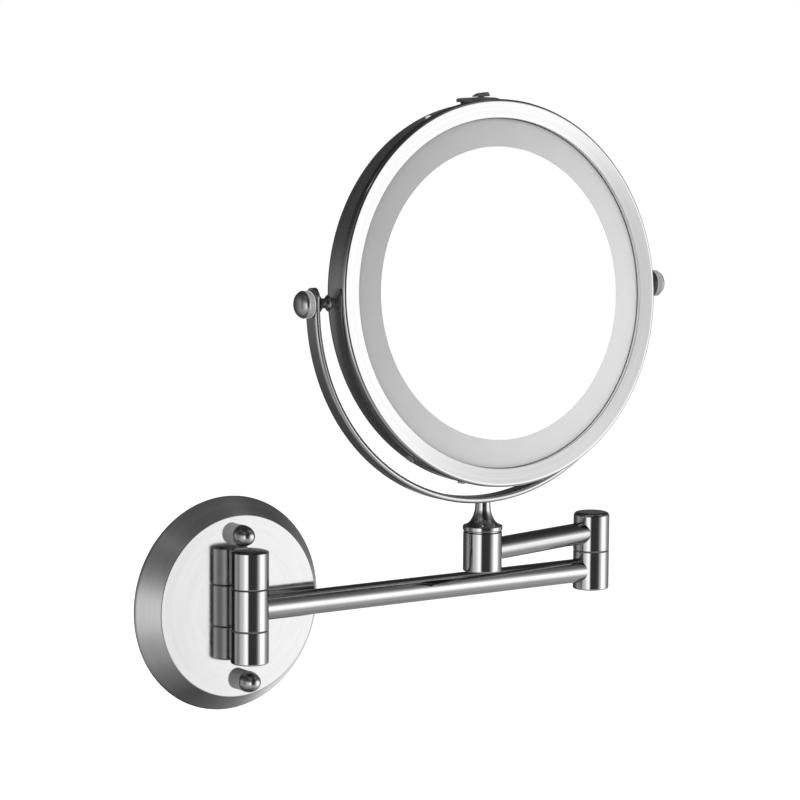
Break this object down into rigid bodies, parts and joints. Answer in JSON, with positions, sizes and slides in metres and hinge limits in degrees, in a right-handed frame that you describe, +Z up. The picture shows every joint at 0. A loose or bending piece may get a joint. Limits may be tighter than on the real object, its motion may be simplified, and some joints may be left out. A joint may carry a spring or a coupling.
{
  "type": "extendable shaving mirror",
  "caption": "Wall-mounted round shaving mirror with a lit frosted ring, held in a U-shaped yoke on two folding tubular arms that swing from a round wall plate.",
  "frame": {"origin": "centre of the wall plate's back, on the wall", "axes": "+Z up, +Y into the wall, +X to the right along the first arm at rest"},
  "size_m": [0.3291, 0.077, 0.3405],
  "materials": {
    "plate_chrome": "satin",
    "chrome": "polished",
    "knob_chrome": "knurled",
    "yoke_chrome": "polished",
    "band_metal": "brushed",
    "bezel_chrome": "polished",
    "mirror_glass": "mirror",
    "frosted": "frosted",
    "cover_metal": "satin",
    "cap_metal": "satin",
    "steel": "plain",
    "nylon": "plain",
    "tray_plastic": "plain",
    "board": "solder mask",
    "led": "domed",
    "chip": "moulded",
    "cell": "sleeve",
    "contact": "plated",
    "switch_black": "moulded",
    "lens": "clear"
  },
  "bodies": {
    "wall_mount": {"wall_plate": "plate_chrome", "wall_bracket": "steel", "mounting_studs": "steel", "stud_nuts": "steel", "upper_knuckle": "chrome", "lower_knuckle": "chrome", "knuckle_screws": "steel", "hinge_pin": "steel", "hinge_washers": "nylon", "barrel_cap": "chrome", "cap_rivet": "steel"},
    "upper_nut": {"thumb_nut_upper": "knob_chrome"},
    "lower_nut": {"thumb_nut_lower": "knob_chrome"},
    "first_arm": {"arm1_knuckle": "chrome", "arm1_tube": "chrome", "elbow_lower_knuckle": "chrome", "elbow_pin": "steel", "elbow_washer": "nylon"},
    "second_arm": {"elbow_upper_knuckle": "chrome", "elbow_cap": "chrome", "arm2_tube": "chrome", "swivel_post": "chrome", "post_bush": "nylon", "post_plug": "chrome"},
    "yoke": {"yoke_neck": "chrome", "yoke_stem": "steel", "stem_screw": "steel", "yoke_strip": "yoke_chrome", "yoke_screw": "steel"},
    "head": {"rim_band": "band_metal", "rim_clips": "band_metal", "front_bezel": "bezel_chrome", "mirror_glass": "mirror_glass", "diffuser_ring": "frosted", "carrier_tray": "tray_plastic", "led_board": "board", "leds": "led", "back_cover": "cover_metal", "back_screws": "steel", "battery_holder": "tray_plastic", "batteries": "cell", "battery_contacts": "contact", "contact_springs": "contact", "driver_board": "board", "driver_parts": "chip", "pivot_blocks": "steel", "pivot_screws": "steel", "pivot_spacers": "knob_chrome", "switch_base": "switch_black", "indicator_lens": "lens"},
    "left_knob": {"knob_left": "knob_chrome"},
    "right_knob": {"knob_right": "knob_chrome"},
    "battery_cap": {"battery_cap": "cap_metal"},
    "switch": {"switch_slider": "switch_black"}
  },
  "joints": [
    {"name": "wall_hinge", "type": "hinge", "parent": "wall_mount", "child": "first_arm", "pos_m": [0, -0.0288, 0], "axis": [0, 0, 1], "range_deg": [-180, 2]},
    {"name": "elbow_hinge", "type": "hinge", "parent": "first_arm", "child": "second_arm", "pos_m": [0.238, -0.0288, 0.0223], "axis": [0, 0, 1], "range_deg": [-22, 176]},
    {"name": "yoke_swivel", "type": "hinge", "parent": "second_arm", "child": "yoke", "pos_m": [0.14275, -0.05009, 0.0336], "axis": [0, 0, 1], "continuous": true},
    {"name": "head_tilt", "type": "hinge", "parent": "yoke", "child": "head", "pos_m": [0.14275, -0.05009, 0.1683], "axis": [1, 0, 0], "continuous": true},
    {"name": "left_knob_turn", "type": "hinge", "parent": "head", "child": "left_knob", "pos_m": [0.02075, -0.05009, 0.1683], "axis": [1, 0, 0], "continuous": true},
    {"name": "right_knob_turn", "type": "hinge", "parent": "head", "child": "right_knob", "pos_m": [0.26475, -0.05009, 0.1683], "axis": [1, 0, 0], "continuous": true},
    {"name": "upper_nut_turn", "type": "hinge", "parent": "wall_mount", "child": "upper_nut", "pos_m": [-0.0062, -0.025, 0.0416], "axis": [0, 1, 0], "continuous": true},
    {"name": "lower_nut_turn", "type": "hinge", "parent": "wall_mount", "child": "lower_nut", "pos_m": [-0.0022, -0.025, -0.0398], "axis": [0, 1, 0], "continuous": true},
    {"name": "battery_cap_turn", "type": "hinge", "parent": "head", "child": "battery_cap", "pos_m": [0.14275, -0.04344, 0.12957], "axis": [0, -0.9962, 0.0872], "range_deg": [0, 35]},
    {"name": "switch_slide", "type": "slide", "parent": "head", "child": "switch", "axis": [-1, 0, 0], "range_m": [0, 0.005]}
  ]
}
